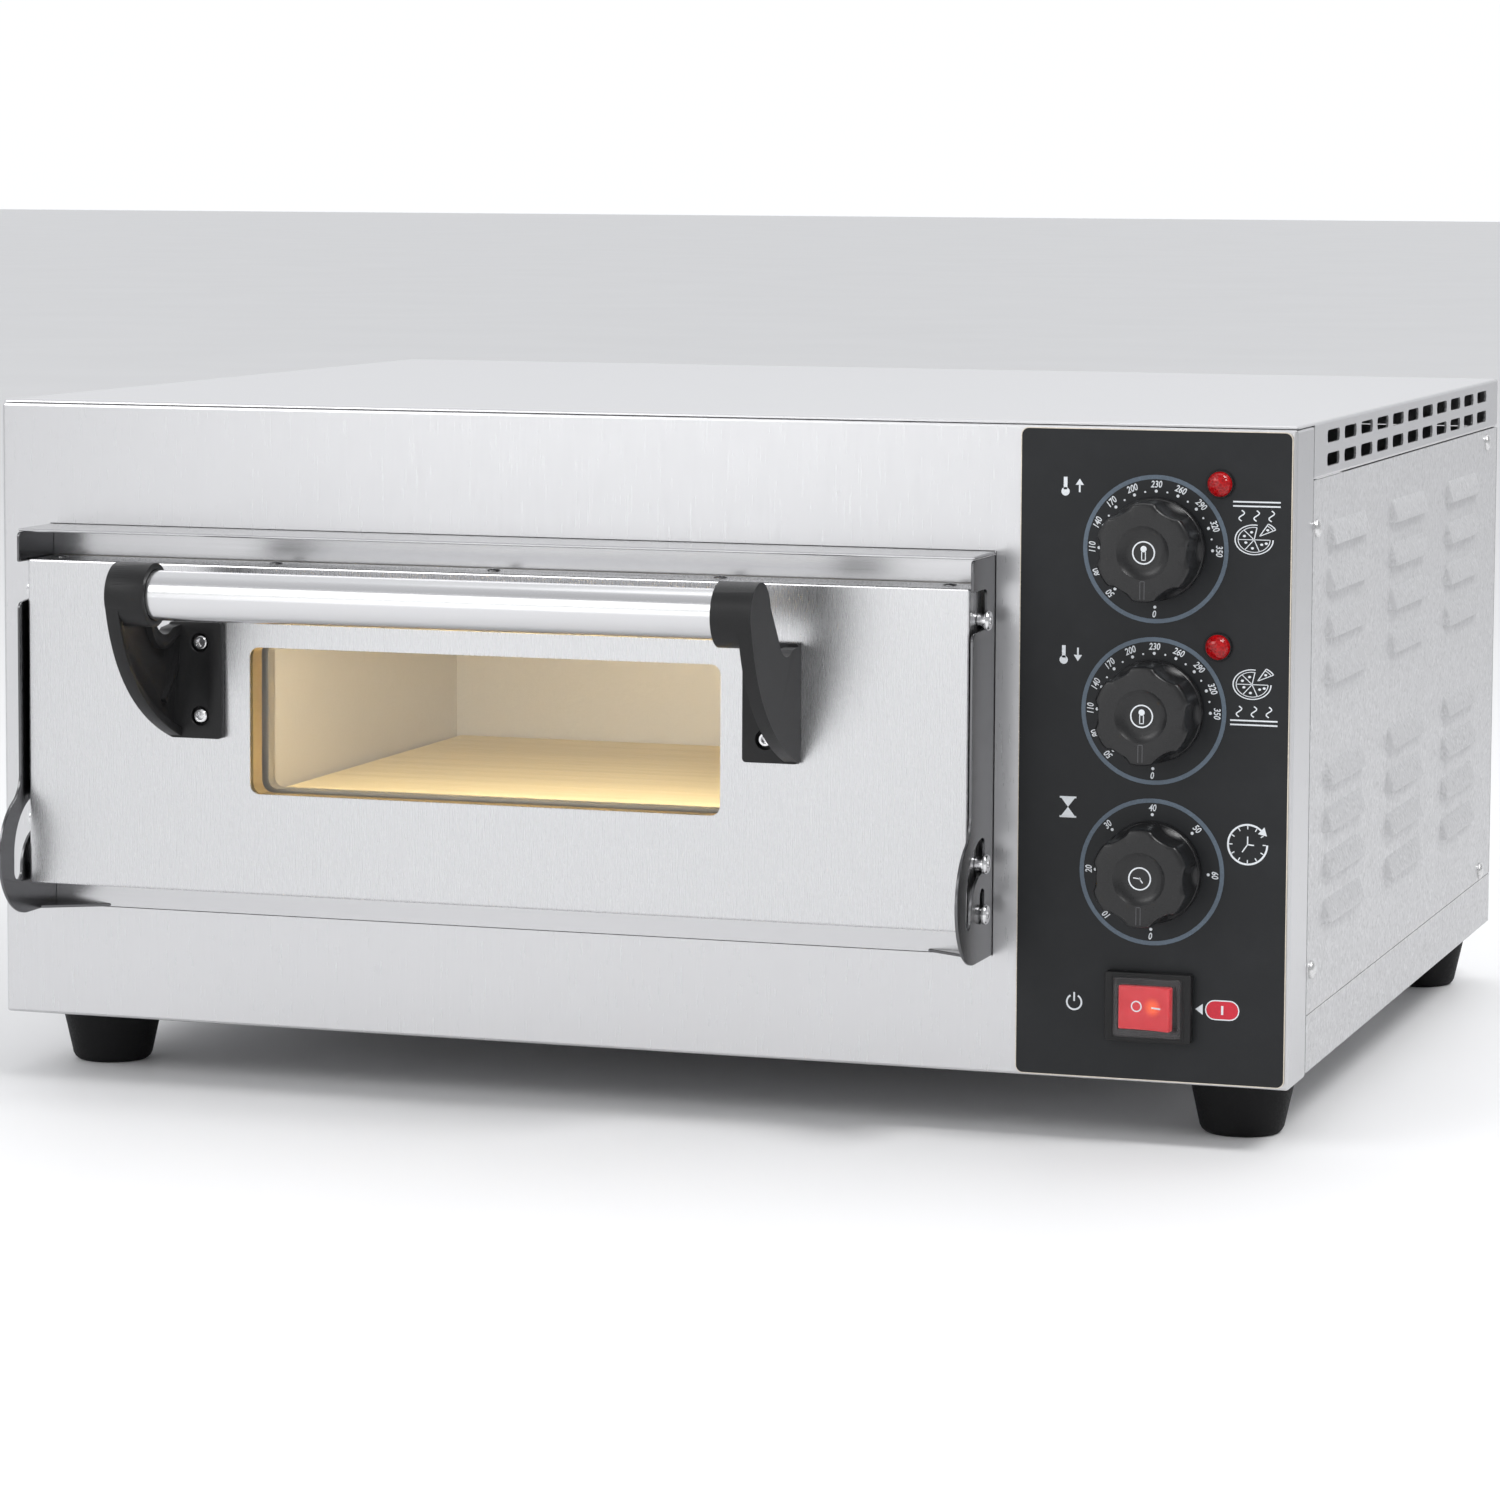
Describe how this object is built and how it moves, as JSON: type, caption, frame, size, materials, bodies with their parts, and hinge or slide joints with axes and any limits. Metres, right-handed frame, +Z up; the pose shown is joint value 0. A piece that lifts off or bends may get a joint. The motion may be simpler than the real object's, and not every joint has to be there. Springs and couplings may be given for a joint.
{
  "type": "countertop pizza oven",
  "caption": "Countertop electric pizza oven: stone-floored baking chamber, drop-down glazed door with a bar handle, louvred steel cabinet, dials and a lit power switch.",
  "frame": {"origin": "middle of the bounding box at the underside of the feet, on the surface the oven stands on", "axes": "+Z up, -Y towards the front (door and dials), +X to the right as seen from the front"},
  "size_m": [0.566, 0.573, 0.2893],
  "materials": {
    "stainless": "vertical brushed, semi-gloss",
    "galvanised": "fine-grained satin",
    "polished_steel": "bright polished steel",
    "liner_steel": "aluminised, heat-tinted satin",
    "aluminium": "bright satin",
    "black_plastic": "fine-textured matt",
    "overlay": "printed matt film",
    "rubber": "matt",
    "stone": "unglazed fired stone, dry and porous",
    "ceramic_wool": "felted fibre",
    "glass": "clear",
    "gasket": "heatproof strip",
    "element_sheath": "oxidised tube",
    "ceramic": "glazed ceramic",
    "red_lens": "clear red",
    "red_rocker": "translucent red",
    "clear_vinyl": "clear soft cap",
    "brass": "satin"
  },
  "bodies": {
    "cabinet": {"base_tray": "galvanised", "bottom_heat_lamp": "red_lens", "bottom_sensing_bulb": "brass", "bottom_thermostat": "black_plastic", "cable_gland": "black_plastic", "chamber_liner": "liner_steel", "control_overlay": "overlay", "door_frame_plate": "polished_steel", "door_hood": "polished_steel", "foot_front_left": "rubber", "foot_front_right": "rubber", "foot_rear_left": "rubber", "foot_rear_right": "rubber", "front_panel": "stainless", "hinge_plate_left": "polished_steel", "hinge_plate_right": "polished_steel", "insulation_blanket": "ceramic_wool", "lower_heating_element": "element_sheath", "partition": "galvanised", "pizza_stone": "stone", "rear_panel": "galvanised", "side_panel_left": "galvanised", "side_panel_right": "galvanised", "stone_rail_left": "galvanised", "stone_rail_right": "galvanised", "switch_cover": "clear_vinyl", "switch_housing": "black_plastic", "terminal_block": "ceramic", "timer": "aluminium", "top_cover": "galvanised", "top_heat_lamp": "red_lens", "top_sensing_bulb": "brass", "top_thermostat": "black_plastic", "upper_heating_element": "element_sheath"},
    "door": {"door_skin": "stainless", "door_liner": "liner_steel", "outer_glass": "glass", "inner_glass": "glass", "glass_spacer": "gasket", "handle_tube": "aluminium", "handle_bracket_left": "black_plastic", "handle_bracket_right": "black_plastic", "bracket_screw_left_lower": "polished_steel", "bracket_screw_left_upper": "polished_steel", "bracket_screw_right_lower": "polished_steel", "bracket_screw_right_upper": "polished_steel", "hinge_stud_left": "polished_steel", "hinge_stud_right": "polished_steel", "guide_stud_left": "polished_steel", "guide_stud_right": "polished_steel", "latch_stud_left": "polished_steel", "latch_stud_right": "polished_steel"},
    "top_heat_dial": {"top_heat_knob": "black_plastic", "top_heat_shaft": "polished_steel"},
    "bottom_heat_dial": {"bottom_heat_knob": "black_plastic", "bottom_heat_shaft": "polished_steel"},
    "timer_dial": {"timer_knob": "black_plastic", "timer_shaft": "polished_steel"},
    "rocker": {"switch_rocker": "red_rocker"}
  },
  "joints": [
    {"name": "door_hinge", "type": "hinge", "parent": "cabinet", "child": "door", "pos_m": [-0.0496, -0.2075, 0.0928], "axis": [1, 0, 0], "range_deg": [0, 90]},
    {"name": "top_heat_turn", "type": "hinge", "parent": "cabinet", "child": "top_heat_dial", "pos_m": [0.2237, -0.1935, 0.2398], "axis": [0, 1, 0], "range_deg": [0, 270]},
    {"name": "bottom_heat_turn", "type": "hinge", "parent": "cabinet", "child": "bottom_heat_dial", "pos_m": [0.2237, -0.1935, 0.1754], "axis": [0, 1, 0], "range_deg": [0, 270]},
    {"name": "timer_turn", "type": "hinge", "parent": "cabinet", "child": "timer_dial", "pos_m": [0.2237, -0.1935, 0.111], "axis": [0, 1, 0], "range_deg": [0, 270]},
    {"name": "switch_tip", "type": "hinge", "parent": "cabinet", "child": "rocker", "pos_m": [0.2237, -0.193, 0.057], "axis": [0, 0, 1], "range_deg": [0, 18]}
  ]
}
